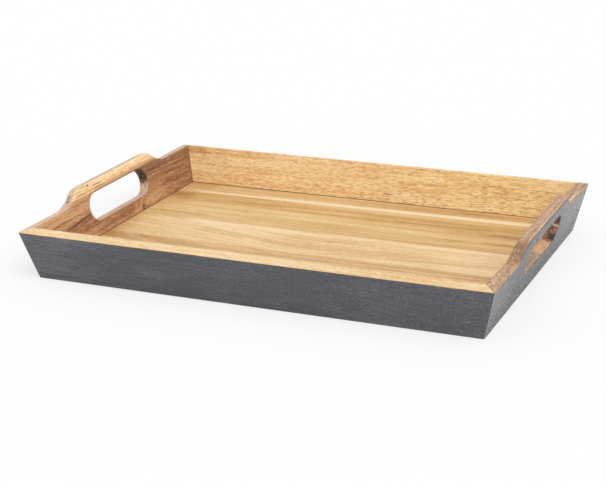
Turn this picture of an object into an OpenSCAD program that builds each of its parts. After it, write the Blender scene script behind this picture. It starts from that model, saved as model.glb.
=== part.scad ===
// Wooden serving tray with handles.
// Four boards lean out and meet in mitred corners round a floor of edge-glued staves,
// which lies in a groove near their foot. Each end board rises in a smooth curve to a
// handle over a round-ended hand-hole. The outside is painted, and the rest is clear wood.
// The origin is the middle of the tray, on the surface that it stands on. X runs from
// handle to handle, Y from front to back, and Z up.

/* [Tray] */
// Outside length over the low rims of the end boards
tray_l = 500; // [420:1:620]
// Outside width over the rims of the side boards
tray_w = 361; // [320:1:460]
// Angle by which all four boards lean out
splay = 13.6; // [6:0.1:20]
// Width of the boards, measured up their outer face from the foot to the low rim
board_w = 53; // [48:0.5:70]
// Thickness of the boards
board_t = 12; // [10:0.1:15]
// Depth of the narrow flats that take the sharpness off the rims
rim_ease = 0.8; // [0.3:0.1:1.5]
// Width of the flat round the outside of the foot, measured on the foot and up the board
foot_ease = 1; // [0.3:0.1:2]
// Depth of the flats down the four outer corners, at the low rim
corner_ease = 0.5; // [0.2:0.1:1.5]
// Depth of the same flats at the foot, where a corner wears most
corner_foot_ease = 1.6; // [0.3:0.1:2.5]

/* [Handles] */
// Height of the handle above the low rim, measured up the board
handle_rise = 16; // [10:0.5:22]
// Length of the level stretch along the top of the handle
handle_top_l = 140; // [130:1:155]
// Radius of the round shoulder at each end of the level stretch
shoulder_r = 22; // [15:0.5:30]
// Radius of the hollow curve between the shoulder and the low rim
cove_r = 41; // [25:0.5:50]
// Length of the hand-hole
grip_l = 126; // [105:1:135]
// Height of the hand-hole, which is also the width of its round ends
grip_h = 30.5; // [26:0.5:32]
// Height of the wooden bar left above the hand-hole
grip_bar_h = 13.5; // [10:0.5:17]
// Depth of the flats round both mouths of the hand-hole
grip_ease = 1; // [0.3:0.1:2]

/* [Floor] */
// Height of the top of the floor above the surface that the tray stands on
floor_top = 12; // [10:0.5:16]
// Thickness of the floor
floor_t = 6; // [4:0.5:7]
// Depth of the groove in the boards, measured in from their inner face
groove_d = 5; // [3:0.5:6]
// Play between the floor and the groove, above it and at its edges
groove_play = 0.3; // [0.1:0.1:0.6]
// Width of the two full staves in the middle of the floor
stave_w = 94; // [70:1:100]
// Width of the narrow stave along the back of the floor
back_stave_w = 39.5; // [25:0.5:60]

/* [Corner pins] */
// Diameter of the steel pins that hold the mitres together
pin_d = 1.6; // [1.2:0.1:2]
// Length of a pin
pin_l = 25; // [20:1:30]
// Depth of a pin's head below the painted face, which is filled over it
pin_set = 1.5; // [1:0.1:3]
// Clearance round a pin
pin_play = 0.05; // [0.02:0.01:0.1]
// Heights of the two pins in each corner, as shares of the board's width
pin_shares = [0.42, 0.78]; // [0.35:0.01:0.85]

/* [Hidden] */
$fn = 96;

golden_wood = "#d9ad6c";
brown_wood = "#a8714a";
rosy_wood = "#c09068";
floor_wood = "#dcb67c";
pale_floor_wood = "#e8cb98";
slate_paint = "#5c5d61";
steel = "silver";

// Half the tray's length and width, over the low rims and over the feet of the boards
rim_x = tray_l / 2;
rim_y = tray_w / 2;
foot_x = rim_x - board_w * sin(splay);
foot_y = rim_y - board_w * sin(splay);
// Level thickness of a leaning board
level_t = board_t / cos(splay);
// Spare stock on a board, which its mitres, the level cut at its foot and the planing of
// its outer face take off
spare = board_t + handle_rise;
// Lean of the flats down the outer corners
corner_out = sqrt(2) * board_w * sin(splay);
corner_lean = atan2(corner_out + corner_foot_ease - corner_ease, board_w * cos(splay));

// Outline of an end board, up from its foot line and out from its middle
handle_top = board_w + handle_rise;
ogee_r = shoulder_r + cove_r;
ogee_turn = acos(1 - handle_rise / ogee_r);
arc_steps = 16;
shoulder_x = handle_top_l / 2;
cove_x = shoulder_x + ogee_r * sin(ogee_turn);
shoulder_c = [shoulder_x, handle_top - shoulder_r];
cove_c = [cove_x, board_w + cove_r];
grip_r = grip_h / 2;
grip_end_x = grip_l / 2 - grip_r;
grip_c = [0, handle_top - grip_bar_h - grip_r];

// Half the length and width of the pocket that the grooves make, and the floor in it
pocket_x = foot_x + floor_top * tan(splay) - level_t + groove_d;
pocket_y = foot_y + floor_top * tan(splay) - level_t + groove_d;
floor_x = pocket_x - groove_play;
floor_y = pocket_y - groove_play;
floor_under = floor_top - floor_t;
// Edges of the staves, from the front of the floor to its back
stave_edges = [
    -floor_y,
    floor_y - back_stave_w - 2 * stave_w,
    floor_y - back_stave_w - stave_w,
    floor_y - back_stave_w,
    floor_y
];

// A board is drawn flat: X runs along it, Y up its outer face from the foot line, and Z
// out of that face, so that the finished wood lies from Z = -board_t to Z = 0.

// Leans a flat board out and moves it to its side of the tray
module as_wall(turn, foot) {
    rotate([0, 0, turn]) translate([0, -foot, 0]) rotate([90 + splay, 0, 0]) children();
}

// Points along an arc, from one direction through an angle
function arc(centre, radius, from, angle) = [
    for (i = [0 : arc_steps])
        let (a = from + angle * i / arc_steps)
        centre + radius * [cos(a), sin(a)]
];

// The same points on the other side of the middle, in the opposite order
function mirrored(points) = [
    for (i = [len(points) - 1 : -1 : 0]) [-points[i].x, points[i].y]
];

// Outline of an end board, set in by some depth along its top edge: from the middle of
// its foot along the low rim, up the hollow cove and over the round shoulder to the level
// top, and down again the same way
function handle_outline(inset) =
    let (
        end_x = rim_y + spare,
        cove = arc(cove_c, cove_r + inset, -90, -ogee_turn),
        shoulder = arc(shoulder_c, shoulder_r - inset, 90 - ogee_turn, ogee_turn),
        over_shoulder = [for (i = [1 : arc_steps]) shoulder[i]],
        half = concat([[end_x, -spare], [end_x, board_w - inset]], cove, over_shoulder)
    )
    concat([[0, -spare]], half, mirrored(half));

// Outline of the hand-hole, set out by some depth all round
function grip_outline(outset) =
    let (half = arc(grip_c + [grip_end_x, 0], grip_r + outset, -90, 180))
    concat(half, mirrored(half));

// Closed solid between outlines of as many points each, at given heights from the lowest
// up. Each outline's first point sees all its others.
module skin(outlines, heights) {
    n = len(outlines[0]);
    top = len(outlines) - 1;
    polyhedron(
        points = [for (k = [0 : top], p = outlines[k]) [p.x, p.y, heights[k]]],
        faces = concat(
            [[for (i = [0 : n - 1]) i]],
            [[for (i = [0 : n - 1]) top * n + (n - i) % n]],
            [
                for (k = [0 : top - 1], i = [0 : n - 1])
                    let (j = (i + 1) % n)
                    [k * n + i, k * n + n + i, k * n + n + j, k * n + j]
            ]
        )
    );
}

// Flat end board with its top edge eased on both faces
module handle_blank() {
    skin(
        [for (inset = [rim_ease, 0, 0, 2 * rim_ease]) handle_outline(inset)],
        [-board_t, rim_ease - board_t, -rim_ease, rim_ease]
    );
}

// Hand-hole with both its mouths eased
module grip_hole() {
    flare = 2 * grip_ease;
    skin(
        [for (outset = [flare, 0, 0, flare]) grip_outline(outset)],
        [-board_t - grip_ease, grip_ease - board_t, -grip_ease, grip_ease]
    );
}

// Flat side board with its top edge eased on both faces: its section, run along it
module side_blank() {
    rotate([90, 0, 90]) linear_extrude(2 * (rim_x + spare), center = true) polygon([
        [-spare, -board_t],
        [board_w - rim_ease, -board_t],
        [board_w, rim_ease - board_t],
        [board_w, -rim_ease],
        [board_w - 2 * rim_ease, rim_ease],
        [-spare, rim_ease]
    ]);
}

// All that lies outside a wall's outer face, the flat round its foot and the flats down
// its corners. The board is planed back to them, and they are painted.
module outside(turn, foot) {
    as_wall(turn, foot) translate([-rim_x - spare, -spare, 0])
        cube([2 * (rim_x + spare), handle_top + 2 * spare, spare]);
    rotate([0, 0, turn]) translate([0, foot_ease - foot, 0]) rotate([splay / 2 - 45, 0, 0])
        translate([-rim_x - spare, -spare, -spare])
            cube([2 * (rim_x + spare), 2 * spare, spare]);
    for (side = [-1, 1], end = [-1, 1])
        translate([end * foot_x, side * foot_y, 0]) rotate([0, 0, atan2(side, end)])
            translate([-corner_foot_ease, 0, 0]) rotate([0, corner_lean, 0])
                translate([0, -spare, -spare]) cube([spare, 2 * spare, board_w + 2 * spare]);
}

// Space between a wall's two mitres, from the foot of the tray up. Because all the boards
// lean alike, the mitres stand upright at 45 degrees to the sides.
module mitred_space(turn, half_along, half_out) {
    deep = board_w * sin(splay) + level_t + spare;
    rotate([0, 0, turn]) linear_extrude(handle_top + board_t) polygon([
        [-half_along - spare, -half_out - spare],
        [half_along + spare, -half_out - spare],
        [half_along - deep, -half_out + deep],
        [-half_along + deep, -half_out + deep]
    ]);
}

// Level pocket for the floor: it cuts the same groove in all four boards
module floor_pocket() {
    translate([-pocket_x, -pocket_y, floor_under])
        cube([2 * pocket_x, 2 * pocket_y, floor_t + groove_play]);
}

// How far out from the middle of a side board a pin goes in, so that halfway along the
// pin it is in the middle of the end board's thickness
function pin_x(up) =
    foot_x - level_t / 2
    + tan(splay) * (up * cos(splay) + (pin_set + pin_l / 2) * sin(splay));

// Pins in both ends of the front and the back board, square to their outer faces
module pins(diameter) {
    for (turn = [0, 180]) as_wall(turn, foot_y)
        for (end = [-1, 1], share = pin_shares)
            translate([end * pin_x(share * board_w), share * board_w, -pin_set - pin_l])
                cylinder(d = diameter, h = pin_l);
}

// Front or back board in its place, with its outer face still to be planed
module side_board(turn) {
    difference() {
        intersection() {
            as_wall(turn, foot_y) side_blank();
            mitred_space(turn, rim_x, rim_y);
        }
        floor_pocket();
        pins(pin_d + 2 * pin_play);
    }
}

// End board in its place, with its outer face still to be planed
module end_board(turn) {
    difference() {
        intersection() {
            as_wall(turn, foot_x) difference() {
                handle_blank();
                grip_hole();
            }
            mitred_space(turn, rim_y, rim_x);
        }
        floor_pocket();
        pins(pin_d + 2 * pin_play);
    }
}

// One stave of the floor, counted from the front
module floor_stave(count) {
    translate([-floor_x, stave_edges[count - 1], floor_under])
        cube([2 * floor_x, stave_edges[count] - stave_edges[count - 1], floor_t]);
}

module front_board() {
    difference() {
        color(golden_wood) side_board(0);
        color(slate_paint) outside(0, foot_y);
    }
}

module back_board() {
    difference() {
        color(golden_wood) side_board(180);
        color(slate_paint) outside(180, foot_y);
    }
}

module left_handle_board() {
    difference() {
        color(brown_wood) end_board(-90);
        color(slate_paint) outside(-90, foot_x);
    }
}

module right_handle_board() {
    difference() {
        color(rosy_wood) end_board(90);
        color(slate_paint) outside(90, foot_x);
    }
}

module floor_stave_1() { color(floor_wood) floor_stave(1); }
module floor_stave_2() { color(pale_floor_wood) floor_stave(2); }
module floor_stave_3() { color(floor_wood) floor_stave(3); }
module floor_stave_4() { color(golden_wood) floor_stave(4); }
module corner_pins() { color(steel) pins(pin_d); }

front_board();
back_board();
left_handle_board();
right_handle_board();
floor_stave_1();
floor_stave_2();
floor_stave_3();
floor_stave_4();
corner_pins();
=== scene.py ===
"""Looks of a wooden serving tray with handles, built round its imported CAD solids.

Lengths are in millimetres until they go into a mesh. On a board, a runs along it, u up its
outer face from the line of its foot, and d in from that face.
"""

from math import acos, cos, pi, radians, sin, tan

import bmesh
import bpy
from mathutils import Matrix, Vector


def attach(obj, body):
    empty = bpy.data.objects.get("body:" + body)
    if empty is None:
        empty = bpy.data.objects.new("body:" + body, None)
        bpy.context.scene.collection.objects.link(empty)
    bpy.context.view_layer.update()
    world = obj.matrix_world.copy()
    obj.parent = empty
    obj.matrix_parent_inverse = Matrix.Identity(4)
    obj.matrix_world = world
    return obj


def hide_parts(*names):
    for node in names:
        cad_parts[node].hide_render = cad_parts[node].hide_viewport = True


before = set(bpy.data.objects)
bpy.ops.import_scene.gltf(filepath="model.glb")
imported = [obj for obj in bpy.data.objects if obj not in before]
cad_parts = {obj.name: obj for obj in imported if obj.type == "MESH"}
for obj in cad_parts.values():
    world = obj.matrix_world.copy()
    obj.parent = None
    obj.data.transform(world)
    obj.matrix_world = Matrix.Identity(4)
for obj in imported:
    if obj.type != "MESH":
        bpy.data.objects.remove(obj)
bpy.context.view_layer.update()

MM = 0.001
WHITE = (1, 1, 1, 1)

# ---------------------------------------------------------------- sizes, as in part.scad
SPLAY = radians(13.6)
RIM_X, RIM_Y = 250.0, 180.5
BOARD_W, BOARD_T = 53.0, 12.0
HANDLE_RISE = 16.0
SHOULDER_X, SHOULDER_R, COVE_R = 70.0, 22.0, 41.0
GRIP_L, GRIP_H, GRIP_BAR_H = 126.0, 30.5, 13.5
FLOOR_TOP, FLOOR_T, GROOVE_D, PLAY = 12.0, 6.0, 5.0, 0.3
STAVE_W, BACK_STAVE_W = 94.0, 39.5

FOOT_X = RIM_X - BOARD_W * sin(SPLAY)
FOOT_Y = RIM_Y - BOARD_W * sin(SPLAY)
LEVEL_T = BOARD_T / cos(SPLAY)
POCKET_OUT = FLOOR_TOP * tan(SPLAY) - LEVEL_T + GROOVE_D
FLOOR_X = FOOT_X + POCKET_OUT - PLAY
FLOOR_Y = FOOT_Y + POCKET_OUT - PLAY
HANDLE_TOP = BOARD_W + HANDLE_RISE
OGEE_R = SHOULDER_R + COVE_R
OGEE_TURN = acos(1 - HANDLE_RISE / OGEE_R)
COVE_X = SHOULDER_X + OGEE_R * sin(OGEE_TURN)
GRIP_R = GRIP_H / 2
GRIP_UP = HANDLE_TOP - GRIP_BAR_H - GRIP_R
GRIP_END = GRIP_L / 2 - GRIP_R

# Roundings of the finished wood. The rims lie a hair low, so that a rounding keeps inside
# the box of the solids, whose edges have flats.
LOW = 0.16
RIM_EASE, HANDLE_EASE, FOOT_EASE = 0.85, 4.2, 1.0
MOUTH_EASE, INNER_MOUTH_EASE = 0.5, 1.3
CORNER_R, CORNER_FOOT_R = 1.0, 3.2

SEAM = 0.12  # a gap between neighbours, and the broken arrises of the staves

# ------------------------------------------------------------------------------ boards
# Each board's turn about the tray's middle, the distance of its foot's line from there, half
# the length of that line, and whether it has a handle
BOARDS = {
    "front_board": (0, FOOT_Y, FOOT_X, False),
    "right_handle_board": (90, FOOT_X, FOOT_Y, True),
    "back_board": (180, FOOT_Y, FOOT_X, False),
    "left_handle_board": (-90, FOOT_X, FOOT_Y, True),
}


def board_matrix(turn, foot):
    """From (a, u, -d) on a board to the tray's frame, all in millimetres."""
    return (
        Matrix.Rotation(radians(turn), 4, "Z")
        @ Matrix.Translation((0, -foot, 0))
        @ Matrix.Rotation(radians(90) + SPLAY, 4, "X")
    )


def out_of_foot(u, d):
    """How far out from the line of the foot a point of a section lies."""
    return u * sin(SPLAY) - d * cos(SPLAY)


def section_at(out, up):
    """(u, d) of the point that lies so far out from the foot's line and so far up."""
    return up * cos(SPLAY) + out * sin(SPLAY), up * sin(SPLAY) - out * cos(SPLAY)


# Steps of the foot's rounding, of each rounding along the rim, of the handle's curves and
# round each end of the hand-hole
FOOT_STEPS, EASE_STEPS, CURVE_STEPS, MOUTH_STEPS = 4, 5, 12, 24
# Heights of the rows of points on the outer and inner face, between the roundings
OUTER_ROWS, INNER_ROWS = (14, 28, 42), (42, 28)
# How far beside a rounding the first row on the flat lies, at the rim and the hand-hole
BESIDE_RIM, BESIDE_MOUTH = 1.75, 2.6
INNER_FOOT_EASE = 0.4

# Values of the mesh's attribute edge, which says how far a point is from the bare wood and is
# below zero on that wood: inside the foot's rounding, its rise at each step there, on the
# painted face, on bare faces, and in the hand-hole's outer and inner half
UNDER, UNDER_STEP, PAINTED, BARE, HOLE_OUTER, HOLE_INNER = 4, 1.5, 10, -10, -4, -8
# Shares of a rounding's width that count as top edge, at the outer and inner side
OUTER_TOP, INNER_TOP = 0.95, 0.1


def section_rows(ease):
    """Points round a board's section: (kind, value, d, edge). The value is u, or for the
    rows along the top edge how far they are set in from its outline."""
    rows = []
    radius = FOOT_EASE / tan((radians(90) - SPLAY) / 2)
    centre_u = radius * (1 - sin(SPLAY)) / cos(SPLAY)
    for k in range(FOOT_STEPS + 1):
        turn = pi + SPLAY + (pi / 2 - SPLAY) * k / FOOT_STEPS
        u, d = centre_u + radius * cos(turn), radius * (1 + sin(turn))
        rows.append(("up", u, d, UNDER + UNDER_STEP * k))
    rows += [("up", u, 0, PAINTED) for u in OUTER_ROWS]
    beside = ease + BESIDE_RIM
    rows.append(("rim", beside, 0, beside))
    turns = [pi / 2 * k / EASE_STEPS for k in range(EASE_STEPS + 1)]
    for turn in turns:
        inset, deep = ease * (1 - sin(turn)), ease * (1 - cos(turn))
        rows.append(("rim", inset, deep, inset - deep))
    for turn in turns:
        inset, deep = ease * (1 - cos(turn)), BOARD_T - ease * (1 - sin(turn))
        rows.append(("rim", inset, deep, -deep))
    rows.append(("rim", beside, BOARD_T, BARE))
    rows += [("up", u, BOARD_T, BARE) for u in INNER_ROWS]
    groove_u = (FLOOR_TOP + PLAY - BOARD_T * sin(SPLAY)) / cos(SPLAY)
    under_u = (FLOOR_TOP - FLOOR_T - BOARD_T * sin(SPLAY)) / cos(SPLAY)
    rows.append(("up", groove_u, BOARD_T, BARE))
    for up in (FLOOR_TOP + PLAY, FLOOR_TOP - FLOOR_T):
        rows.append(("up", *section_at(POCKET_OUT, up), BARE))
    rows.append(("up", under_u, BOARD_T, BARE))
    inner_foot = -BOARD_T * sin(SPLAY) / cos(SPLAY)
    rows.append(("up", inner_foot + INNER_FOOT_EASE, BOARD_T, BARE))
    broken = inner_foot + INNER_FOOT_EASE * tan(SPLAY), BOARD_T - INNER_FOOT_EASE
    rows.append(("up", *broken, BARE))
    return rows


# Rows at the foot's rounding, beside the rim outside and inside, and at the groove
FOOT_ROW = FOOT_STEPS
RIM_ROW = FOOT_ROW + len(OUTER_ROWS) + 1
IN_RIM_ROW = RIM_ROW + 2 * (EASE_STEPS + 1) + 1
GROOVE_ROW = IN_RIM_ROW + len(INNER_ROWS) + 1

# Places of the sections along a board: their distances from the mitre, those on the low rim
# of a board with a handle, and the first of those every STATION along a straight edge
NEAR_MITRE = (0, 0.12, 0.3, 0.55, 0.9, 1.35, 1.9, 2.6, 3.5, 5, 12)
LOW_RIM = (135, 123)
STATION, HANDLE_START, SIDE_START = 10, 60, 200
# Places along the hand-hole's straight sides
MOUTH_STATIONS = (32, 16, 0, -16, -32)
# Unevenness of a rounding: share of its width, length over a radian, and times the seed
WAVES = ((0.06, 17, 1), (0.04, 7.3, 2))


def wavy_ease(a, top, seed):
    """Width of the rounding along the rim: fuller on the handle, and a little uneven, as
    hand sanding leaves it."""
    ease = RIM_EASE + (HANDLE_EASE - RIM_EASE) * (top - BOARD_W) / HANDLE_RISE
    return ease * sum((share * sin(a / length + k * seed) for share, length, k in WAVES), 1)


def stations(handle, seed):
    """Places along a board: (a, u of the outline, its normal, distance from the mitre or
    None, width of the rounding)."""
    level = (0, 1)
    if handle:
        half = [(a, BOARD_W, level) for a in LOW_RIM]
        for k in range(CURVE_STEPS + 1):
            turn = OGEE_TURN * k / CURVE_STEPS
            a, u = COVE_X - COVE_R * sin(turn), BOARD_W + COVE_R * (1 - cos(turn))
            half.append((a, u, (sin(turn), cos(turn))))
        for k in range(1, CURVE_STEPS + 1):
            turn = OGEE_TURN * (1 - k / CURVE_STEPS)
            a, u = SHOULDER_X + SHOULDER_R * sin(turn), HANDLE_TOP - SHOULDER_R * (1 - cos(turn))
            half.append((a, u, (sin(turn), cos(turn))))
        half += [(a, HANDLE_TOP, level) for a in range(HANDLE_START, 0, -STATION)]
        middle = [(0, HANDLE_TOP, level)]
    else:
        half = [(a, BOARD_W, level) for a in range(SIDE_START, 0, -STATION)]
        middle = [(0, BOARD_W, level)]
    mitre = [(0, BOARD_W, level, gap, RIM_EASE) for gap in NEAR_MITRE]
    right = mitre + [(a, u, n, None, wavy_ease(a, u, seed)) for a, u, n in half]
    left = [
        (-a, u, (-n[0], n[1]), gap, ease if gap is not None else wavy_ease(-a, u, seed))
        for a, u, n, gap, ease in right
    ]
    return left, [(a, u, n, None, wavy_ease(a, u, seed)) for a, u, n in middle], right[::-1]


def corner_rounded(p):
    """Moves a point that lies near one of the tray's outer corners onto its rounding."""
    x, y, z = abs(p.x), abs(p.y), p.z
    radius = CORNER_R + (CORNER_FOOT_R - CORNER_R) * max(0, 1 - z / (BOARD_W * cos(SPLAY))) ** 2
    gap_x = (FOOT_X + z * tan(SPLAY) - x) * cos(SPLAY)
    gap_y = (FOOT_Y + z * tan(SPLAY) - y) * cos(SPLAY)
    if gap_x >= radius or gap_y >= radius:
        return p
    face_x, face_y = Vector((cos(SPLAY), 0, -sin(SPLAY))), Vector((0, cos(SPLAY), -sin(SPLAY)))
    share = face_x.dot(face_y)
    along_x = (face_x - share * face_y) / (1 - share * share)
    along_y = (face_y - share * face_x) / (1 - share * share)
    reach = (radius - gap_x) * along_x + (radius - gap_y) * along_y
    if reach.length <= radius:
        return p
    moved = Vector((x, y, z)) - reach * (1 - radius / reach.length)
    return Vector((moved.x * (1 if p.x > 0 else -1), moved.y * (1 if p.y > 0 else -1), moved.z))


def mouth_outline(outset):
    """The hand-hole's outline, set out all round."""
    radius = GRIP_R + outset
    points = []
    for side in (1, -1):
        for k in range(MOUTH_STEPS + 1):
            turn = -pi / 2 + pi * k / MOUTH_STEPS
            a, up = GRIP_END + radius * cos(turn), side * radius * sin(turn)
            points.append((side * a, GRIP_UP + up))
        points += [(side * a, GRIP_UP + side * radius) for a in MOUTH_STATIONS]
    return points


def mouth_rings():
    """Outlines through the hand-hole from the outer to the inner face: (outset, d, edge,
    slot), where slot is 1 on its walls."""
    turns = [pi / 2 * k / EASE_STEPS for k in range(EASE_STEPS + 1)]
    rings = [(BESIDE_MOUTH, 0, BESIDE_MOUTH, 0)]
    for k, turn in enumerate(turns):
        outset, deep = MOUTH_EASE * (1 - sin(turn)), MOUTH_EASE * (1 - cos(turn))
        rings.append((outset, deep, outset - deep, k / EASE_STEPS))
    rings.append((0, BOARD_T / 2, HOLE_OUTER, 1))
    for k, turn in enumerate(turns):
        outset = INNER_MOUTH_EASE * (1 - cos(turn))
        deep = BOARD_T - INNER_MOUTH_EASE * (1 - sin(turn))
        rings.append((outset, deep, HOLE_INNER, max(0, 1 - 2 * k / EASE_STEPS)))
    rings.append((BESIDE_MOUTH, BOARD_T, BARE, 0))
    return rings


def build_board(name, seed):
    """One board, a closed mesh with its groove and hand-hole, and with the attributes edge,
    top and slot, which tell its material where a point lies."""
    turn, foot, half_foot, handle = BOARDS[name]
    matrix = board_matrix(turn, foot)
    mesh = bmesh.new()
    edge = mesh.verts.layers.float.new("edge")
    rim_top = mesh.verts.layers.float.new("top")
    in_slot = mesh.verts.layers.float.new("slot")

    def add(a, u, d, far, on_top=0.0, slot=0.0):
        vert = mesh.verts.new(corner_rounded(matrix @ Vector((a, u, -d))) * MM)
        vert[edge], vert[rim_top], vert[in_slot] = far, on_top, slot
        return vert

    left, middle, right = stations(handle, seed)
    grid = []
    holed = []
    for part, sign in ((left, -1), (middle, 1), (right, 1)):
        for a, top, normal, gap, ease in part:
            column = []
            for kind, value, d, far in section_rows(ease):
                inset = value + LOW + (SEAM if gap == 0 else 0)
                u = top - inset * normal[1] if kind == "rim" else value
                if gap is not None:
                    at = sign * (half_foot + out_of_foot(u, d) - gap)
                else:
                    at = a - inset * normal[0] if kind == "rim" else a
                top_share = OUTER_TOP if d < BOARD_T / 2 else INNER_TOP
                on_top = kind == "rim" and value < top_share * ease
                column.append(add(at, u, d, far, float(on_top)))
            if handle and gap is None and abs(a) <= SHOULDER_X + 1e-6:
                holed.append(len(grid))
            grid.append(column)

    # The two faces round the hand-hole are left open here, and filled below
    open_rows = ((FOOT_ROW, RIM_ROW), (IN_RIM_ROW, GROOVE_ROW))
    first, last = (holed[0], holed[-1]) if handle else (0, 0)
    count = len(grid[0])
    for i in range(len(grid) - 1):
        for j in range(count):
            k = (j + 1) % count
            if first <= i < last and any(low <= j < high for low, high in open_rows):
                continue
            mesh.faces.new((grid[i][j], grid[i][k], grid[i + 1][k], grid[i + 1][j]))
    mesh.faces.new(grid[0])
    mesh.faces.new(grid[-1][::-1])
    for column in grid[first + 1:last]:
        for low, high in open_rows:
            for vert in column[low + 1:high]:
                mesh.verts.remove(vert)

    if handle:
        rings = [
            [add(a, u, d, far, 0.0, slot) for a, u in mouth_outline(outset)]
            for outset, d, far, slot in mouth_rings()
        ]
        for one, two in zip(rings, rings[1:]):
            for i in range(len(one)):
                k = (i + 1) % len(one)
                mesh.faces.new((one[i], two[i], two[k], one[k]))
        for (low, high), ring in zip(open_rows, (rings[0], rings[-1])):
            bounds = [(grid[i][j], grid[i + 1][j]) for i in range(first, last) for j in (low, high)]
            for j in range(low, high):
                bounds += [(grid[i][j], grid[i][j + 1]) for i in (first, last)]
            bounds += list(zip(ring, ring[1:] + ring[:1]))
            edges = [mesh.edges.get(pair) or mesh.edges.new(pair) for pair in bounds]
            bmesh.ops.triangle_fill(mesh, edges=edges, use_beauty=True, use_dissolve=False)
    return finished(mesh, name)


SHARP = radians(35)  # a sharper bend than this stays an edge in the shading


def finished(mesh, node):
    """Turns a bmesh into the piece that stands for a CAD node."""
    bmesh.ops.recalc_face_normals(mesh, faces=mesh.faces)
    for face in mesh.faces:
        face.smooth = True
    data = bpy.data.meshes.new(node + "_finish")
    mesh.to_mesh(data)
    mesh.free()
    data.set_sharp_from_angle(angle=SHARP)
    piece = bpy.data.objects.new(node + "_finish", data)
    bpy.context.scene.collection.objects.link(piece)
    shading = piece.modifiers.new("Even shading", "WEIGHTED_NORMAL")
    shading.mode = "FACE_AREA"
    shading.keep_sharp = True
    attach(piece, "root")
    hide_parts(node)
    return piece


# ------------------------------------------------------------------------------- floor
# The staves' joints and outer edges, from the front to the back
STAVES = (
    -FLOOR_Y, FLOOR_Y - BACK_STAVE_W - 2 * STAVE_W, FLOOR_Y - BACK_STAVE_W - STAVE_W,
    FLOOR_Y - BACK_STAVE_W, FLOOR_Y,
)


def build_stave(count):
    """One stave of the floor, its long arrises just broken."""
    mesh = bmesh.new()
    low = Vector((-FLOOR_X, STAVES[count - 1], FLOOR_TOP - FLOOR_T))
    high = Vector((FLOOR_X, STAVES[count], FLOOR_TOP))
    place = Matrix.Translation((low + high) / 2 * MM)
    size = Matrix.Diagonal(((high - low) * MM).to_4d())
    bmesh.ops.create_cube(mesh, size=1, matrix=place @ size)
    long_edges = [e for e in mesh.edges if abs(e.verts[0].co.x - e.verts[1].co.x) > FLOOR_X * MM]
    bmesh.ops.bevel(
        mesh, geom=long_edges, offset=SEAM * MM, segments=2, profile=0.5, affect="EDGES"
    )
    return finished(mesh, f"floor_stave_{count}")


# --------------------------------------------------------------------- camera and light
# The camera fitted to the photo: its focal length in pixels of an image so wide, its angles,
# and its distance from the point of the table that it looks at
F_PIXELS, IMAGE_W = 1499.8612, 606
AZIMUTH, ELEVATION, ROLL = radians(23.7218), radians(18.8238), radians(-1.2288)
DISTANCE, AIM_X, AIM_Y = 1631.1753, -25.9713, 27.0455
SENSOR_W, NEAR_CLIP, FAR_CLIP = 36, 0.05, 60

# The world's light on the object, the sun's strength, the white that the table comes to
# under both, and how much of the table the camera sees as plain white
WORLD_LIGHT, SUN, FLOOR_WHITE, WHITE_SHARE = 0.66, 1.6, 0.99, 0.66
SUN_WIDTH = radians(50)
TO_SUN = Vector((0.55, -0.45, 0.9)).normalized()
# In metres. The table lies a hair below the feet, so that their faces don't coincide.
TABLE_REACH, TABLE_DROP = 14, 0.0001


def add_camera():
    """The camera at the photo's angle, without shift or depth of field."""
    back = Vector((
        sin(AZIMUTH) * cos(ELEVATION), -cos(AZIMUTH) * cos(ELEVATION), sin(ELEVATION)
    ))
    right = Vector((cos(AZIMUTH), sin(AZIMUTH), 0))
    up = back.cross(right)
    turned_right = cos(ROLL) * right + sin(ROLL) * up
    turned_up = cos(ROLL) * up - sin(ROLL) * right
    data = bpy.data.cameras.new("camera")
    data.sensor_width = SENSOR_W
    data.lens = F_PIXELS * SENSOR_W / IMAGE_W
    data.clip_start, data.clip_end = NEAR_CLIP, FAR_CLIP
    camera = bpy.data.objects.new("camera", data)
    bpy.context.scene.collection.objects.link(camera)
    place = Matrix((turned_right, turned_up, back)).transposed().to_4x4()
    place.translation = (Vector((AIM_X, AIM_Y, 0)) + back * DISTANCE) * MM
    camera.matrix_world = place
    bpy.context.scene.camera = camera


def empty_tree(owner):
    """The node tree of a world or material, with nothing in it."""
    owner.use_nodes = True
    owner.node_tree.nodes.clear()
    return owner.node_tree


def add_node(tree, kind, inputs=(), **settings):
    """A new node with these settings. Each input is given a value or linked to an output."""
    node = tree.nodes.new(kind)
    for key, value in settings.items():
        setattr(node, key, value)
    for key, value in dict(inputs).items():
        socket = node.inputs[key]
        if isinstance(value, bpy.types.NodeSocket):
            tree.links.new(value, socket)
        else:
            socket.default_value = value
    return node


def add_light():
    """A world that is white to look at and softer as a light, and one broad sun."""
    world = bpy.data.worlds.new("studio")
    bpy.context.scene.world = world
    tree = empty_tree(world)
    ray = add_node(tree, "ShaderNodeLightPath").outputs
    seen = add_node(tree, "ShaderNodeMath", {
        0: ray["Is Camera Ray"], 1: ray["Is Glossy Ray"],
    }, operation="ADD")
    seen = add_node(tree, "ShaderNodeMath", {
        0: seen.outputs[0], 1: ray["Is Transmission Ray"],
    }, operation="ADD", use_clamp=True)
    soft = add_node(tree, "ShaderNodeBackground", {"Color": WHITE, "Strength": WORLD_LIGHT})
    white = add_node(tree, "ShaderNodeBackground", {"Color": WHITE, "Strength": 1})
    mix = add_node(tree, "ShaderNodeMixShader", {
        0: seen.outputs[0], 1: soft.outputs[0], 2: white.outputs[0],
    })
    add_node(tree, "ShaderNodeOutputWorld", {"Surface": mix.outputs[0]})

    lamp = bpy.data.lights.new("key", "SUN")
    lamp.energy = SUN
    lamp.angle = SUN_WIDTH
    key = bpy.data.objects.new("key", lamp)
    bpy.context.scene.collection.objects.link(key)
    key.rotation_euler = TO_SUN.to_track_quat("Z", "Y").to_euler()


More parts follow.
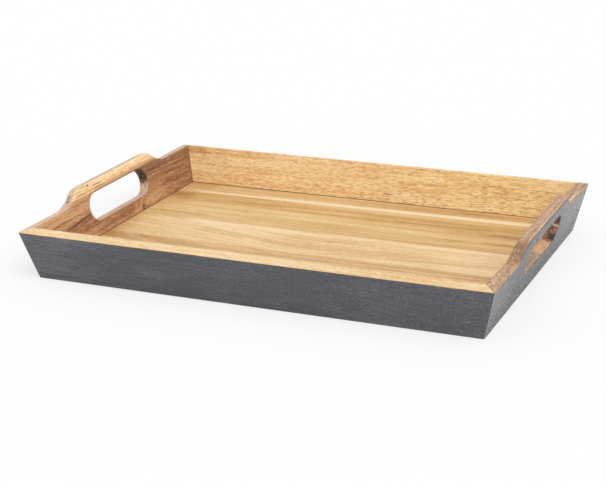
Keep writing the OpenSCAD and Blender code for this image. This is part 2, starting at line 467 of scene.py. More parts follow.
def add_floor():
    """The table. It keeps the tray's shadow, which the camera sees weakened by plain white."""
    mesh = bpy.data.meshes.new("table")
    far = TABLE_REACH
    corners = [(-far, -far, 0), (far, -far, 0), (far, far, 0), (-far, far, 0)]
    mesh.from_pydata(corners, [], [(0, 1, 2, 3)])
    table = bpy.data.objects.new("table", mesh)
    table.location.z = -TABLE_DROP
    bpy.context.scene.collection.objects.link(table)
    material = bpy.data.materials.new("table white")
    tree = empty_tree(material)
    level = FLOOR_WHITE / (WORLD_LIGHT + SUN * TO_SUN.z / pi)
    matte = add_node(tree, "ShaderNodeBsdfDiffuse", {"Color": (level, level, level, 1)})
    glow = add_node(tree, "ShaderNodeEmission", {"Strength": 1})
    ray = add_node(tree, "ShaderNodeLightPath").outputs
    share = add_node(tree, "ShaderNodeMath", {
        0: ray["Is Camera Ray"], 1: WHITE_SHARE,
    }, operation="MULTIPLY")
    mix = add_node(tree, "ShaderNodeMixShader", {
        0: share.outputs[0], 1: matte.outputs[0], 2: glow.outputs[0],
    })
    add_node(tree, "ShaderNodeOutputMaterial", {"Surface": mix.outputs[0]})
    mesh.materials.append(material)


# --------------------------------------------------------------------------- materials
def srgb(red, green, blue):
    """A colour given in sRGB, 0 to 255, as the linear values that a socket takes."""
    def linear(v):
        v /= 255
        return v / 12.92 if v <= 0.04045 else ((v + 0.055) / 1.055) ** 2.4
    return (linear(red), linear(green), linear(blue), 1)


IOR = 1.45


class Graph:
    """The nodes of one material. Its coordinates are in millimetres: along the grain,
    across it, and out of the face."""

    def __init__(self, name, matrix):
        self.material = bpy.data.materials.new(name)
        self.tree = empty_tree(self.material)
        inverse = matrix.inverted()
        place = self.node("ShaderNodeTexCoord").outputs["Object"]
        self.follow(self.node("ShaderNodeMapping", {
            "Vector": place, "Location": inverse.translation,
            "Rotation": inverse.to_euler("XYZ"), "Scale": (1 / MM, 1 / MM, 1 / MM),
        }).outputs[0])

    def follow(self, at):
        """Takes these coordinates from here on."""
        self.at = at
        split = self.node("ShaderNodeSeparateXYZ", {0: at}).outputs
        self.along, self.across, self.out = split[0], split[1], split[2]

    def node(self, kind, inputs=(), **settings):
        return add_node(self.tree, kind, inputs, **settings)

    def math(self, operation, *values):
        return self.node("ShaderNodeMath", enumerate(values), operation=operation).outputs[0]

    def add(self, *values):
        total = values[0]
        for value in values[1:]:
            total = self.math("ADD", total, value)
        return total

    def sub(self, a, b):
        return self.math("SUBTRACT", a, b)

    def mul(self, *values):
        total = values[0]
        for value in values[1:]:
            total = self.math("MULTIPLY", total, value)
        return total

    def noise(self, scales, seed=0.0, detail=2.0, rough=0.5):
        """Noise round 0, about as far as -0.25 and 0.25, with 1/scale millimetres to a blotch."""
        moved = self.node("ShaderNodeVectorMath", {
            0: self.at, 1: scales, 2: (seed, seed * 0.7, seed * 1.3),
        }, operation="MULTIPLY_ADD").outputs[0]
        value = self.node("ShaderNodeTexNoise", {
            "Vector": moved, "Scale": 1, "Detail": detail, "Roughness": rough,
        }).outputs[0]
        return self.sub(value, 0.5)

    def step(self, value, low, high):
        """0 below low and 1 above high, with a smooth rise, or a fall if low is above high."""
        return self.node("ShaderNodeMapRange", {
            "Value": value, "From Min": low, "From Max": high,
        }, interpolation_type="SMOOTHSTEP").outputs[0]

    def band(self, value, centre, half, soft):
        """1 within half of the centre, falling to 0 over soft."""
        return self.step(self.math("ABSOLUTE", self.sub(value, centre)), half + soft, half)

    def streak(self, start, end, half, soft, fade=14):
        """1 within half of a line on the face from start to end, each (along, across),
        falling to 0 over soft at its sides and over fade at its ends."""
        slope = (end[1] - start[1]) / (end[0] - start[0])
        line = self.sub(self.across, self.mul(self.along, slope))
        sides = self.band(line, start[1] - slope * start[0], half, soft)
        half_length = abs(end[0] - start[0]) / 2
        ends = self.band(self.along, (start[0] + end[0]) / 2, half_length - fade / 2, fade)
        return self.mul(sides, ends)

    def spot(self, centre, radii, soft=0.5):
        """1 in the middle of an oval on the face, falling to 0 at its rim."""
        a = self.math("DIVIDE", self.sub(self.along, centre[0]), radii[0])
        b = self.math("DIVIDE", self.sub(self.across, centre[1]), radii[1])
        return self.step(self.math("SQRT", self.add(self.mul(a, a), self.mul(b, b))), 1, soft)

    def ramp(self, value, colours, low=0.0, high=1.0):
        """Colours spread evenly from low to high."""
        node = self.node("ShaderNodeValToRGB", {0: value})
        marks = node.color_ramp.elements
        while len(marks) < len(colours):
            marks.new(0.5)
        for k, colour in enumerate(colours):
            marks[k].position = low + (high - low) * k / (len(colours) - 1)
            marks[k].color = srgb(*colour)
        return node.outputs[0]

    def mix(self, share, one, two):
        """A share of the second colour over the first."""
        two = srgb(*two) if isinstance(two, tuple) else two
        return self.node("ShaderNodeMix", {0: share, 6: one, 7: two}, data_type="RGBA").outputs[2]

    def blend(self, share, one, two):
        """A share of the second number over the first."""
        return self.node("ShaderNodeMix", {0: share, 2: one, 3: two}, data_type="FLOAT").outputs[0]

    def attribute(self, name):
        return self.node("ShaderNodeAttribute", attribute_name=name).outputs["Fac"]

    def shade(self, colour, rough, height, depth):
        """The finished surface, with relief of so many millimetres to a height of 1."""
        bump = self.node("ShaderNodeBump", {
            "Strength": 1, "Distance": depth * MM, "Height": height,
        })
        surface = self.node("ShaderNodeBsdfPrincipled", {
            "Base Color": colour, "Roughness": rough, "Normal": bump.outputs[0], "IOR": IOR,
        })
        self.node("ShaderNodeOutputMaterial", {"Surface": surface.outputs[0]})
        return self.material


class Wood(Graph):
    """Bare wood: its grain, then its colour from a tone of 0 (dark) to 1 (pale). drift says
    how far its lines wander, in millimetres, and warp adds a figure of its own."""

    def __init__(self, name, matrix, seed, drift=7, warp=None):
        super().__init__(name, matrix)
        self.seed = seed
        self.square = self.at
        lean = self.add(
            self.mul(self.noise((0.0045, 0.012, 0.012), seed), drift),
            self.mul(self.noise((0.02, 0.06, 0.06), seed + 0.6), drift * 0.3),
        )
        self.wavy = self.leaning(self.mul(lean, 0.6))
        if warp:
            lean = self.add(lean, warp(self))
        self.follow(self.leaning(lean))

    def leaning(self, lean):
        """The present coordinates with so much added across the grain."""
        shift = self.node("ShaderNodeCombineXYZ", {1: lean, 2: self.mul(lean, 0.6)}).outputs[0]
        return self.node("ShaderNodeVectorMath", {0: self.at, 1: shift}, operation="ADD").outputs[0]

    def grain(self, broad=1.0, line=1.0, fibre=1.0, curl=0.0):
        """The tone of the plain grain, round 0.5: broad bands, long lines, fine fibres and
        short ripples, each with its strength."""
        seed = self.seed
        self.lines = self.noise((0.007, 0.30, 0.30), seed + 7.7, 3, 0.6)
        self.fine = self.noise((0.17, 1.15, 1.15), seed + 1.9, 3, 0.65)
        bands = self.noise((0.005, 0.055, 0.055), seed + 3.1, 2)
        tone = self.add(
            0.5, self.mul(bands, broad * 1.3), self.mul(self.lines, line * 1.1),
            self.mul(self.fine, fibre),
        )
        if curl:
            ripples = self.noise((0.10, 0.6, 0.6), seed + 9.4, 2, 0.6)
            tone = self.add(tone, self.mul(ripples, curl))
        return tone

    def marked(self, tone, *streaks):
        """The tone with streaks on it, which run straight but for a slight wave. Each is
        (darker or paler by, start, end, half, soft) and perhaps fade, as in streak()."""
        bent = self.at
        self.follow(self.wavy)
        for amount, *line in streaks:
            tone = self.add(tone, self.mul(self.streak(*line), amount))
        self.follow(bent)
        return tone

    def pores(self, colour, dark, share, low=0.08, length=0.13, where=None):
        """Short dark dashes along the grain. where makes them denser or sparser."""
        dash = self.noise((length, 1.5, 1.5), self.seed + 5.3, 2)
        if where is not None:
            dash = self.add(dash, where)
        self.dash = self.mul(self.step(dash, low, low + 0.09), share)
        return self.mix(self.dash, colour, dark)

    def mitre_line(self, width):
        """1 within so many metres of the mitres' planes, with an uneven edge."""
        place = self.node("ShaderNodeTexCoord").outputs["Object"]
        spot = self.node("ShaderNodeSeparateXYZ", {0: place}).outputs
        off = self.sub(self.math("ABSOLUTE", spot[0]), self.math("ABSOLUTE", spot[1]))
        off = self.math("ABSOLUTE", self.sub(off, MITRE_OFF * MM))
        uneven = self.add(width, self.mul(self.noise((0.4, 0.4, 0.4), self.seed + 4.5), 0.0010))
        return self.step(self.sub(off, uneven), 0.00025, -0.00015)

    def relief(self):
        """The height of the bare surface: raised fibres and lines, and sunken pores."""
        raised = self.add(self.mul(self.fine, 0.8), self.mul(self.lines, 0.35))
        return self.sub(raised, self.mul(self.dash, 0.5))


# Distances on a board that its material needs: the height on the inner face of the line
# where the floor meets it, and how far the mitres' planes lie off the diagonals
SEAM_UP = (FLOOR_TOP - BOARD_T * sin(SPLAY)) / cos(SPLAY)
MITRE_OFF = FOOT_X - FOOT_Y
# The depth of the relief on the boards and the floor, and how far from the rim's outer arris
# the paint starts
BOARD_RELIEF, FLOOR_RELIEF, PAINT_START = 0.12, 0.09, 0.45

# In sRGB: the painted shade in the joints' gaps, the paint from dark to pale, its brush marks and
# its worn spots
SEAM_SHADE = (104, 70, 42)
SLATES = ((75, 76, 81), (77, 78, 83), (106, 107, 111))
BRUSH_MARK, WORN_SPOT = (131, 132, 135), (136, 137, 139)


def board_wood(node, name, seed, drift=7, warp=None):
    """The wood of a board, in the board's own coordinates."""
    turn, foot, _, _ = BOARDS[node]
    return Wood(name, board_matrix(turn, foot), seed, drift, warp)


def seams(g, colour, strength=0.8):
    """The dark lines where a board meets the floor and its neighbours, painted shade in the gaps
    there.
    """
    bent = g.at
    g.follow(g.square)
    inside = g.step(g.out, -11.4, -11.7)
    by_floor = g.mul(g.step(g.across, SEAM_UP + 1.0, SEAM_UP + 0.3), inside)
    by_mitre = g.mul(g.mitre_line(0.0005), g.step(g.out, -10.5, -11.5), 0.85)
    line = g.math("MAXIMUM", g.mul(by_floor, strength), by_mitre)
    g.follow(bent)
    return g.mix(line, colour, SEAM_SHADE)


def near_paint(g, wood, share, colour, reach=-1.3):
    """The bare wood with a tint within so many millimetres of the paint."""
    return g.mix(g.mul(g.step(g.attribute("edge"), reach, 0.1), share), wood, colour)


def painted(g, wood, start=PAINT_START, slates=SLATES, tint=None, grit=None, worn=None):
    """Slate paint on the outer face over the wood, which stays bare along the rims: the
    colour, roughness and height of the surface. tint is added to the paint's tone, grit to
    the unevenness of its sheen and surface, and worn says where it has more pale spots."""
    seed = g.seed
    relief = g.relief()
    far = g.attribute("edge")
    ragged = g.add(g.mul(g.noise((0.05, 0.25, 0.25), seed + 2.2, 3, 0.7), 1.2), far)
    paint = g.step(g.sub(ragged, start), -0.15, 0.15)
    brushed = g.noise((0.035, 0.85, 0.85), seed + 4.4, 3, 0.65)
    mottle = g.noise((0.28, 0.6, 0.6), seed + 8.8, 3, 0.6)
    broad = g.noise((0.012, 0.04, 0.04), seed + 8.1)
    tone = g.add(0.5, g.mul(brushed, 1.5), g.mul(mottle, 1.1), g.mul(broad, 0.8))
    if tint is not None:
        tone = g.add(tone, tint)
    slate = g.ramp(tone, slates)
    marks = g.step(g.noise((0.035, 1.2, 1.2), seed + 6.6, 3, 0.6), 0.13, 0.27)
    slate = g.mix(g.mul(marks, 0.8), slate, BRUSH_MARK)
    spots = g.noise((0.25, 1.3, 1.3), seed + 3.6)
    if worn is not None:
        spots = g.add(spots, worn)
    slate = g.mix(g.mul(g.step(spots, 0.14, 0.24), 0.5), slate, WORN_SPOT)
    colour = g.mix(paint, wood, slate)
    uneven, height = g.add(brushed, mottle), g.add(g.mul(brushed, 0.6), g.mul(mottle, 0.4))
    if grit is not None:
        uneven, height = g.add(uneven, grit), g.add(height, g.mul(grit, 0.4))
    rough = g.blend(paint, g.add(0.50, g.mul(relief, 0.25)), g.add(0.33, g.mul(uneven, 0.35)))
    return colour, rough, g.blend(paint, relief, height)


# Small chips in the front paint: place and radii
CHIPS = (((223.6, 17), (1.0, 0.7)), ((215.5, 5.4), (0.9, 0.8)), ((223, 34.5), (0.6, 0.5)))


def front_material():
    """Straw-coloured wood on the rim, and brushed paint with a few chips by the corner."""
    g = board_wood("front_board", "front board", 1.0)
    tone = g.add(
        g.grain(0.7, 0.6, 1.0, 0.5), g.mul(g.noise((0.35, 0.9, 0.9), 19.9, 2, 0.6), 0.6),
        g.mul(g.step(g.along, -60, -200), 0.1),
    )
    wood = g.ramp(tone, ((189, 144, 90), (222, 184, 129), (240, 216, 172), (248, 232, 196)))
    wood = g.pores(wood, (196, 150, 98), 0.55, 0.10)
    wood = near_paint(g, wood, 0.6, (228, 176, 104))
    wood = seams(g, wood)

    # Paler to the left, with a finer speckle to the right
    speckle = g.noise((0.7, 1.3, 1.3), 19.3, 2, 0.6)
    speckled = g.add(g.mul(g.step(g.along, -110, 0), 2.0), g.step(g.along, 40, 130))
    tint = g.add(g.mul(g.step(g.along, -60, -240), 0.16), g.mul(speckle, speckled))
    worn = g.mul(g.step(g.along, 50, 130), 0.045)
    colour, rough, height = painted(g, wood, tint=tint, worn=worn)
    painted_part = g.step(g.attribute("edge"), 0.3, 0.8)
    # A dark line along the mitre at the right-hand corner: painted shade in the joint's gap.
    corner = g.mul(g.mitre_line(0.0006), painted_part, g.step(g.along, 200, 210))
    colour = g.mix(g.mul(corner, 0.6), colour, (48, 48, 52))
    outside = g.step(g.out, -1.5, -0.8)
    for place, radii in CHIPS:
        colour = g.mix(g.mul(g.spot(place, radii), outside, 0.75), colour, (196, 168, 128))
    return g.shade(colour, rough, height, BOARD_RELIEF)


def rippled(g):
    """Bends the back board's grain into small ripples towards its right end."""
    return g.mul(g.noise((0.045, 0.13, 0.13), 22.7), g.step(g.along, 30, -100), 4.5)


def back_material():
    """Golden wood with many pores, plainer to the left and silkier to the right."""
    g = board_wood("back_board", "back board", 2.0, 10, rippled)
    tone = g.marked(
        g.grain(0.5, 1.0, 1.4, 0.9),
        (-0.10, (120, 47), (200, 48), 2.5, 4, 24), (-0.3, (212, 49), (240, 50), 3, 3, 8),
        (0.10, (10, 46), (110, 47), 4, 5, 30), (-0.10, (-110, 32), (-30, 29), 3, 6, 24),
        (0.22, (-236, 46), (-208, 44), 5, 4, 12), (0.12, (-200, 20), (-24, 17), 5, 6, 30),
    )
    figure = g.add(
        g.mul(g.noise((0.05, 0.55, 0.55), 21.3, 3, 0.65), 2.0), g.mul(g.lines, 0.2)
    )
    tone = g.add(tone, g.mul(g.step(g.along, 0, -110), figure))
    wood = g.ramp(tone, ((192, 142, 88), (229, 184, 126), (247, 216, 162), (250, 231, 190)))
    wood = g.mix(g.mul(g.step(g.along, -10, -110), 0.25), wood, (250, 212, 134))
    denser = g.add(
        g.mul(g.streak((-230, 26), (-110, 26), 12, 8, 30), 0.05),
        g.mul(g.streak((-95, 16), (-5, 16), 6, 6, 20), 0.06),
    )
    wood = g.pores(wood, (176, 116, 60), 0.72, 0.08, 0.13, denser)
    wood = near_paint(g, wood, 0.7, (218, 164, 98))
    wood = seams(g, wood, 0.9)
    return g.shade(*painted(g, wood), BOARD_RELIEF)


def cathedral(g):
    """Bends the left board's grain into a low arch behind its hand-hole."""
    behind = g.step(g.math("ABSOLUTE", g.add(g.along, 88)), 66, 0)
    rise = g.mul(behind, g.step(g.across, 46, 16))
    fall = g.mul(g.step(g.along, 60, 160), g.step(g.across, 10, 50), 4)
    return g.sub(g.mul(rise, -11), fall)


def left_heartwood(g):
    """The left board's brown wood, streaked in front of the hand-hole and behind it."""
    front, behind = g.step(g.along, 44, 66), g.step(g.along, -50, -70)
    low_middle = g.mul(g.band(g.along, -76, 12, 20), g.step(g.across, 30, 20), 0.14)
    low_front = g.mul(g.step(g.along, 16, 44), g.step(g.across, 26, 20), 0.14)
    # Towards the rear end, by the back board, the tone is lowered: painted shade in that corner.
    tone = g.add(
        g.grain(0.28, 1.2, 1.8, 0.6), 0.01, g.mul(front, g.step(g.across, 33, 43), 0.49),
        g.mul(front, 0.04), g.mul(behind, g.step(g.across, 36, 44), 0.04),
        g.mul(behind, g.band(g.across, 31, 5, 6), -0.06),
        g.mul(g.step(g.along, -144, -168), -0.10), low_middle, low_front,
    )
    tone = g.marked(
        tone,
        (-0.42, (60, 37.5), (116, 32), 0.8, 1.4), (-0.22, (60, 34), (108, 30), 2.2, 2.6),
        (-0.22, (50, 25), (108, 23), 1.2, 2.4), (-0.14, (20, 16), (60, 17), 3, 4),
        (-0.28, (-160, 45), (-64, 48), 0.5, 1.1), (-0.18, (-166, 41), (-96, 41), 0.7, 1.4),
        (-0.22, (-150, 33.5), (-100, 36), 0.6, 1.2), (-0.08, (-172, 49), (-66, 51), 2.5, 3),
        (0.2, (-132, 33), (-62, 29), 0.9, 1.8), (0.22, (-80, 18), (-46, 17), 3.5, 4, 10),
        (-0.16, (-150, 22), (-84, 26), 0.9, 1.8), (-0.26, (66, 42), (140, 41), 0.5, 1.0),
        (-0.24, (84, 49), (150, 48.5), 0.5, 1.0), (-0.22, (58, 53), (100, 52), 0.5, 1.2),
        (0.5, (-44, 24), (-36, 19), 0.7, 0.9, 2), (0.5, (-37, 19), (-32, 12), 0.8, 1.0, 1.5),
        (-0.3, (-42, 14), (-37, 13), 2.4, 2.0, 3), (0.16, (-30, 18), (-22, 16), 4, 3, 5),
        (-0.16, (-20, 17), (14, 18), 4, 4, 16),
    )
    brown = g.ramp(tone, ((104, 68, 47), (147, 102, 71), (180, 131, 92), (208, 166, 124)))
    sparser = g.mul(front, g.step(g.across, 36, 42), -0.05)
    return g.pores(brown, (104, 68, 48), 0.5, 0.07, 0.12, sparser)


def left_sapwood(g):
    """The left board's pale wood along its handle, with a crack and two small flaws."""
    tone = g.marked(
        g.grain(0.4, 0.5, 1.6, 0.95),
        (-0.3, (30, 59.5), (84, 60), 0.6, 1), (-0.25, (-60, 61), (10, 62.5), 0.5, 1),
    )
    sap = g.ramp(tone, ((190, 144, 92), (231, 192, 138), (246, 221, 174), (250, 233, 196)))
    tan_part = g.mul(g.step(g.across, 61.4, 59.4), g.step(g.along, 56, 26), 0.72)
    sap = g.mix(tan_part, sap, (194, 146, 100))
    sap = g.mix(g.mul(g.spot((85, 62.5), (3.6, 0.9)), 0.6), sap, (184, 134, 86))
    crack = g.marked(
        0.0,
        (0.7, (31, 63.0), (47, 63.6), 0.3, 0.45, 6), (0.6, (55, 66.0), (74, 67.3), 0.2, 0.45, 7),
    )
    return g.mix(g.math("MAXIMUM", crack, g.spot((57, 66), (2.3, 1.2))), sap, (98, 68, 44))


def left_rim(g, wood):
    """The left board's top edge, greyer outside and on the handle, browner in front."""
    tone = g.grain(0.5, 1.0, 1.4)
    rim = g.mix(0.12, g.ramp(tone, ((178, 144, 114), (219, 188, 158), (240, 218, 194))), wood)
    rim = g.mix(g.mul(g.step(g.out, -3.2, -1.6), 0.45), rim, (186, 160, 142))
    on_handle = g.step(g.math("ABSOLUTE", g.along), 68, 50)
    rim = g.mix(g.mul(on_handle, 0.55), rim, (176, 148, 128))
    return g.mix(g.mul(g.step(g.along, 104, 134), 0.3), rim, (196, 154, 108))


def left_material():
    """Brown heartwood, with pale sapwood along the handle."""
    g = board_wood("left_handle_board", "left board", 4.0, 6, cathedral)
    brown, sap = left_heartwood(g), left_sapwood(g)
    edge_of_sap = g.add(g.across, g.mul(g.noise((0.03, 0.1, 0.1), 3.3), 1.2))
    wood = g.mix(g.step(edge_of_sap, 56.9, 57.8), brown, sap)
    top = g.mul(g.step(g.attribute("top"), 0.2, 0.5), 0.95)
    wood = g.mix(top, wood, left_rim(g, wood))

    # A knot on the front cove's top edge
    knot = g.mul(g.band(g.along, 89.0, 2.8, 2.5), g.band(g.out, -6.2, 1.2, 1.8))
    knot = g.mul(knot, g.step(g.noise((0.35, 0.35, 0.35), 2.3, 3), -0.22, 0.02))
    wood = g.mix(g.mul(g.attribute("top"), knot, 0.85), wood, (112, 94, 82))

    # The hand-hole's walls, with a dark patch high on the rear end wall: router burn in the end
    # grain, and painted shade under the handle bar
    slot = g.attribute("slot")
    walls = g.ramp(g.grain(0.5, 1.9, 2.2, 0.8), ((150, 108, 82), (200, 162, 134), (226, 196, 168)))
    wood = g.mix(g.mul(slot, 0.9), wood, walls)
    ragged = g.add(g.across, g.mul(g.noise((0.25, 0.25, 0.4), 8.2, 3), 12))
    uneven = g.add(0.92, g.mul(g.noise((0.5, 0.5, 0.3), 9.2, 3), 1.2))
    dark = g.mul(slot, g.step(g.along, -46, -54), g.step(ragged, 32, 37), uneven)
    wood = g.mix(dark, wood, (58, 42, 34))
    wood = seams(g, wood)
    return g.shade(*painted(g, wood, 0.35), BOARD_RELIEF)


def right_hole(g):
    """The walls of the right board's hand-hole: reddish, tan in the front half, and brown at
    the rear end, with a dark and a pale band."""
    at_end = g.step(g.along, 51, 53)
    tone = g.add(g.grain(0.6, 1.0, 1.8, 0.7), g.mul(g.step(g.along, 4, 14), 0.1))
    walls = g.ramp(tone, ((150, 104, 72), (194, 146, 106), (224, 176, 132), (236, 198, 156)))
    tone = g.grain(0.5, 1.0, 2.4, 1.2)
    tan_part = g.ramp(tone, ((112, 86, 66), (164, 134, 104), (200, 172, 138)))
    front_half = g.mul(g.step(g.along, 14, 4), g.step(g.along, -50, -44), 0.9)
    walls = g.mix(front_half, walls, tan_part)
    ragged = g.add(g.across, g.mul(g.noise((0.12, 0.12, 0.35), 6.3, 3), 5))
    tone = g.grain(0.6, 2.0, 3.0, 2.0)
    end_wall = g.ramp(tone, ((78, 56, 43), (128, 94, 71), (172, 132, 102)))
    walls = g.mix(g.step(g.along, 50, 53), walls, end_wall)
    outer = g.step(g.add(g.out, g.mul(g.noise((0.3, 0.3, 0.3), 7.7), 6)), -8.5, -5)
    dark = g.mul(g.band(ragged, 29.5, 1.7, 2.0), outer, at_end)
    walls = g.mix(g.mul(dark, 0.95), walls, (56, 48, 44))
    walls = g.mix(g.mul(g.band(ragged, 40.2, 0.8, 0.8), at_end, 0.85), walls, (220, 192, 168))
    walls = g.mix(g.mul(g.step(ragged, 41.5, 43), at_end, 0.5), walls, (96, 66, 50))
    foot = g.mul(g.band(g.along, 50, 1.6, 1.2), g.step(g.across, 29, 27), 0.75)
    return g.mix(foot, walls, (140, 88, 58))


def right_material():
    """Brown wood on the rim and in the hand-hole, and paint that is coarser low down."""
    g = board_wood("right_handle_board", "right board", 6.0, 6)
    edge = g.attribute("edge")
    tone = g.add(
        g.grain(0.7, 1.0, 1.4, 0.5),
        g.mul(g.step(g.along, 88, 122), g.add(0.18, g.mul(g.lines, 1.2))),
        g.mul(g.step(g.along, -105, -125), g.add(-0.05, g.mul(g.fine, 0.9))),
    )
    tone = g.marked(tone, (-0.22, (-106, 60), (-74, 60), 12, 6, 16))
    wood = g.ramp(tone, ((119, 85, 62), (164, 124, 93), (204, 167, 131), (224, 194, 158)))
    wood = g.pores(wood, (124, 90, 66), 0.5, 0.08)
    knot = g.step(g.noise((0.3, 0.3, 0.5), 4.1), -0.12, 0.16)
    knot = g.mul(g.spot((-89, 63), (14, 9), 0.2), knot)
    wood = g.mix(g.mul(knot, 0.75), wood, (112, 94, 74))
    slot = g.attribute("slot")
    wood = g.mix(slot, wood, right_hole(g))

    # More of the wood shows at the coves, and less in the hand-hole
    coves = g.math("MAXIMUM", g.band(g.along, 102, 12, 10), g.band(g.along, -116, 12, 10))
    start = g.add(
        0.1, g.mul(coves, 0.5), g.mul(g.step(g.across, 60, 67), 0.2), g.mul(slot, -0.7)
    )
    far_handle = g.mul(g.step(g.across, 60, 66), g.step(g.along, -50, 0), -0.3)
    share = g.add(0.3, g.mul(coves, 0.5), far_handle)
    wood = near_paint(g, wood, share, (226, 164, 100), -0.9)
    wood = seams(g, wood)

    # Painted light in the paint's tone: darker towards the foot, a painted shade, and much paler
    # paler than on the other boards, a painted sheen as well.
    # round the middle and a little paler at the front end. The tones given to painted() below are
    # towards the far end, a painted sheen where the face is seen more at a slant; a little darker
    low, far = g.step(g.across, 34, 14), g.step(g.along, 40, 110)
    foot = g.step(g.across, 30, 2)
    tint = g.add(
        g.mul(foot, -0.2), g.mul(g.step(g.along, 30, 130), 0.42),
        g.mul(g.band(g.along, -40, 40, 60), -0.15), g.mul(g.step(g.along, -90, -150), 0.15),
        0.04,
    )
    grit = g.add(
        g.noise((0.3, 0.9, 0.9), 18.1, 2, 0.6),
        g.mul(g.noise((0.6, 1.2, 1.2), 18.7, 2, 0.6), 0.6),
    )
    grit = g.mul(grit, g.add(
        3.7, g.mul(low, 3.0), g.mul(far, 3.5), g.mul(g.step(g.along, -50, -100), -0.9),
    ))
    colour, rough, height = painted(
        g, wood, start, ((74, 74, 76), (86, 86, 88), (112, 113, 115)), tint,
        g.add(grit, g.mul(foot, 0.14)), g.mul(low, 0.03),
    )

    # The joint with the front board in painted shade, a painted highlight on the corner beside it,
    # and a line under the rim
    front_end = g.step(g.along, -150, -160)
    joint = g.mul(g.mitre_line(0.0012), g.step(edge, 0.2, 0.0), front_end)
    colour = g.mix(g.mul(joint, 0.7), colour, SEAM_SHADE)
    corner = g.mul(g.mitre_line(0.0028), g.step(edge, 0.3, 0.8), front_end)
    colour = g.mix(g.mul(corner, 0.38), colour, (166, 165, 160))
    under_rim = g.band(edge, 0.55, 0.2, 0.35)
    rim_line = g.mul(under_rim, g.step(g.across, 58, 64), g.step(g.along, -40, 10))
    colour = g.mix(g.mul(rim_line, 0.65), colour, (62, 62, 68))
    return g.shade(colour, rough, height, BOARD_RELIEF)


# Half the length and width of the floor between the walls' inner faces
SEEN_X = FOOT_X + FLOOR_TOP * tan(SPLAY) - LEVEL_T
SEEN_Y = FOOT_Y + FLOOR_TOP * tan(SPLAY) - LEVEL_T


def stave_material(
    count, seed, colours, streaks, pore, warp=None, bent=(), knots=(), fibre=1.1, line=0.6
):
    """The wood of one stave. bent holds streaks that follow the warp."""
    g = Wood(f"floor stave {count}", Matrix.Identity(4), seed, 5, warp)
    tone = g.marked(g.grain(0.6, line, fibre, 0.25), *streaks)
    for amount, *place in bent:
        tone = g.add(tone, g.mul(g.streak(*place), amount))
    colour = g.pores(g.ramp(tone, colours), pore, 0.3, 0.10)
    g.follow(g.square)
    for place, radii in knots:
        colour = g.mix(g.mul(g.spot(place, radii), 0.8), colour, (150, 106, 64))
    from_middle, from_centre = g.math("ABSOLUTE", g.along), g.math("ABSOLUTE", g.across)
    # Darker along the edges where the floor meets the walls: painted shade in those gaps.
    by_end = g.mul(g.step(from_middle, SEEN_X - 0.8, SEEN_X - 0.2), 0.85)
    by_side = g.mul(g.step(from_centre, SEEN_Y - 0.9, SEEN_Y - 0.2), 0.75)
    shows = g.mul(g.step(g.noise((0.03, 0.1, 0.1), seed + 2.8), -0.1, 0.12), 0.5)
    sides = [g.math("ABSOLUTE", g.sub(g.across, y)) for y in STAVES[count - 1:count + 1]]
    joint = g.mul(g.step(g.math("MINIMUM", *sides), 0.7, 0.2), shows)
    colour = g.mix(joint, colour, (158, 112, 66))
    colour = g.mix(g.math("MAXIMUM", by_end, by_side), colour, SEAM_SHADE)
    relief = g.relief()
    return g.shade(colour, g.add(0.48, g.mul(relief, 0.3)), relief, FLOOR_RELIEF)


def pointed(g):
    """Bends the grain into the arches of a flat-sawn stave, which point to the front."""
    left = g.math("SMOOTH_MAX", g.sub(-15, g.along), 0, 30)
    right = g.math("SMOOTH_MAX", g.add(g.along, 15), 0, 30)
    return g.add(g.mul(left, -0.19), g.mul(right, -0.09))


GOLDEN = ((170, 124, 70), (208, 164, 102), (229, 195, 138), (243, 224, 186))
PALE = ((175, 128, 75), (214, 172, 114), (238, 207, 156), (244, 220, 176))
DULLER = ((170, 124, 76), (207, 165, 110), (227, 195, 145), (243, 223, 184))


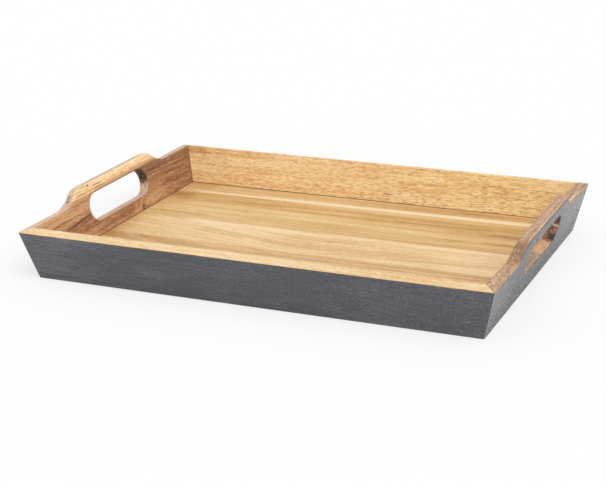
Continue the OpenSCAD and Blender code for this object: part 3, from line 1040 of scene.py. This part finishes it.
def floor_materials():
    """The staves' materials, each with the streaks that it shows."""
    first = stave_material(1, 11.0, GOLDEN, (), (176, 130, 80))
    second = stave_material(2, 12.0, PALE, (
        (-0.17, (-240, -49), (240, -49), 6, 10), (-0.14, (-110, -54), (230, -54), 1, 2),
        (-0.12, (60, -45), (225, -46), 1.0, 2), (-0.13, (-250, -50), (-140, -49), 6, 7, 60),
        (0.12, (-160, 24), (220, 24), 4, 5), (0.12, (150, -30), (215, -30), 6, 5),
        (-0.2, (-260, -12), (-216, -12), 40, 8, 26), (-0.09, (-40, 5), (4, -9), 4, 5),
        (-0.08, (8, 5), (200, 19), 1.0, 2.4), (0.13, (50, 2), (180, 6), 7, 8, 40),
        (-0.11, (-121, -18), (-24, -32), 0.6, 1.8),
    ), (196, 148, 94), pointed, bent=(
        (-0.07, (-150, -37), (-60, -35), 0.8, 2.0), (-0.06, (-150, -16), (-20, -17), 0.8, 1.8),
        (-0.06, (-60, -24), (40, -23), 0.6, 1.5),
    ))
    third = stave_material(3, 13.0, GOLDEN, (
        (-0.10, (-240, 104), (240, 103), 12, 8), (-0.14, (-245, 106), (-200, 104), 11, 6, 22),
        (-0.18, (-148, 102), (-76, 102), 1.4, 3), (-0.20, (56, 96), (166, 97), 1.1, 2.4),
        (-0.18, (170, 85), (222, 82), 2.2, 3.5, 24), (-0.17, (166, 58), (222, 56), 2.8, 4, 24),
        (0.10, (-215, 66), (215, 66), 4, 6), (0.08, (-200, 81), (160, 81), 3, 4),
        (-0.20, (-170, 57), (150, 55), 0.7, 1.5), (-0.15, (-110, 51), (140, 49), 0.6, 1.4),
        (-0.20, (-180, 44), (215, 42), 0.8, 1.6), (-0.17, (-70, 36.5), (232, 33), 0.9, 1.8),
        (-0.15, (-228, 45), (-150, 46), 2.5, 4), (-0.13, (10, 96), (240, 92), 16, 10, 50),
        (-0.12, (120, 70), (240, 70), 14, 10, 40), (-0.08, (-228, 42), (-90, 42), 7, 5, 30),
    ), (180, 132, 80), knots=(((-115.5, 71.5), (3.4, 1.5)),), fibre=1.0, line=0.85)
    fourth = stave_material(4, 14.0, DULLER, (
        (0.44, (-206, 127.2), (260, 128.6), 1.9, 2.6, 40),
        (0.44, (-80, 129.6), (270, 134), 2.4, 3.2, 150),
        (-0.2, (-245, 147), (-190, 147), 6, 5, 20), (-0.2, (120, 147), (250, 146), 3.5, 4.5, 30),
        (-0.12, (-240, 156), (240, 156), 3, 3), (-0.08, (-220, 145), (130, 146), 5, 5, 30),
        (0.05, (-190, 139), (40, 140), 4, 6, 40),
    ), (180, 132, 80))
    return {f"floor_stave_{n}": m for n, m in enumerate((first, second, third, fourth), 1)}


def steel_material():
    """Drawn steel for the pins in the mitres."""
    g = Graph("pin steel", Matrix.Identity(4))
    drawn = g.add(g.noise((0.3, 0.1, 0.3), 2.0, 3), 0.5)
    colour = g.ramp(drawn, ((176, 176, 180), (212, 212, 216)), 0.3, 0.7)
    surface = g.node("ShaderNodeBsdfPrincipled", {
        "Base Color": colour, "Roughness": g.add(0.2, g.mul(drawn, 0.2)), "Metallic": 1,
    })
    g.node("ShaderNodeOutputMaterial", {"Surface": surface.outputs[0]})
    return g.material


# ------------------------------------------------------------------------------- scene
bpy.context.scene.view_settings.view_transform = "Standard"
add_camera()
add_light()
add_floor()

pieces = {name: build_board(name, 1 + i) for i, name in enumerate(BOARDS)}
pieces.update({f"floor_stave_{n}": build_stave(n) for n in range(1, len(STAVES))})
materials = {
    "front_board": front_material(),
    "back_board": back_material(),
    "left_handle_board": left_material(),
    "right_handle_board": right_material(),
    **floor_materials(),
}
for name, piece in pieces.items():
    piece.data.materials.append(materials[name])
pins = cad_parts["corner_pins"]
pins.data.materials.clear()
pins.data.materials.append(steel_material())
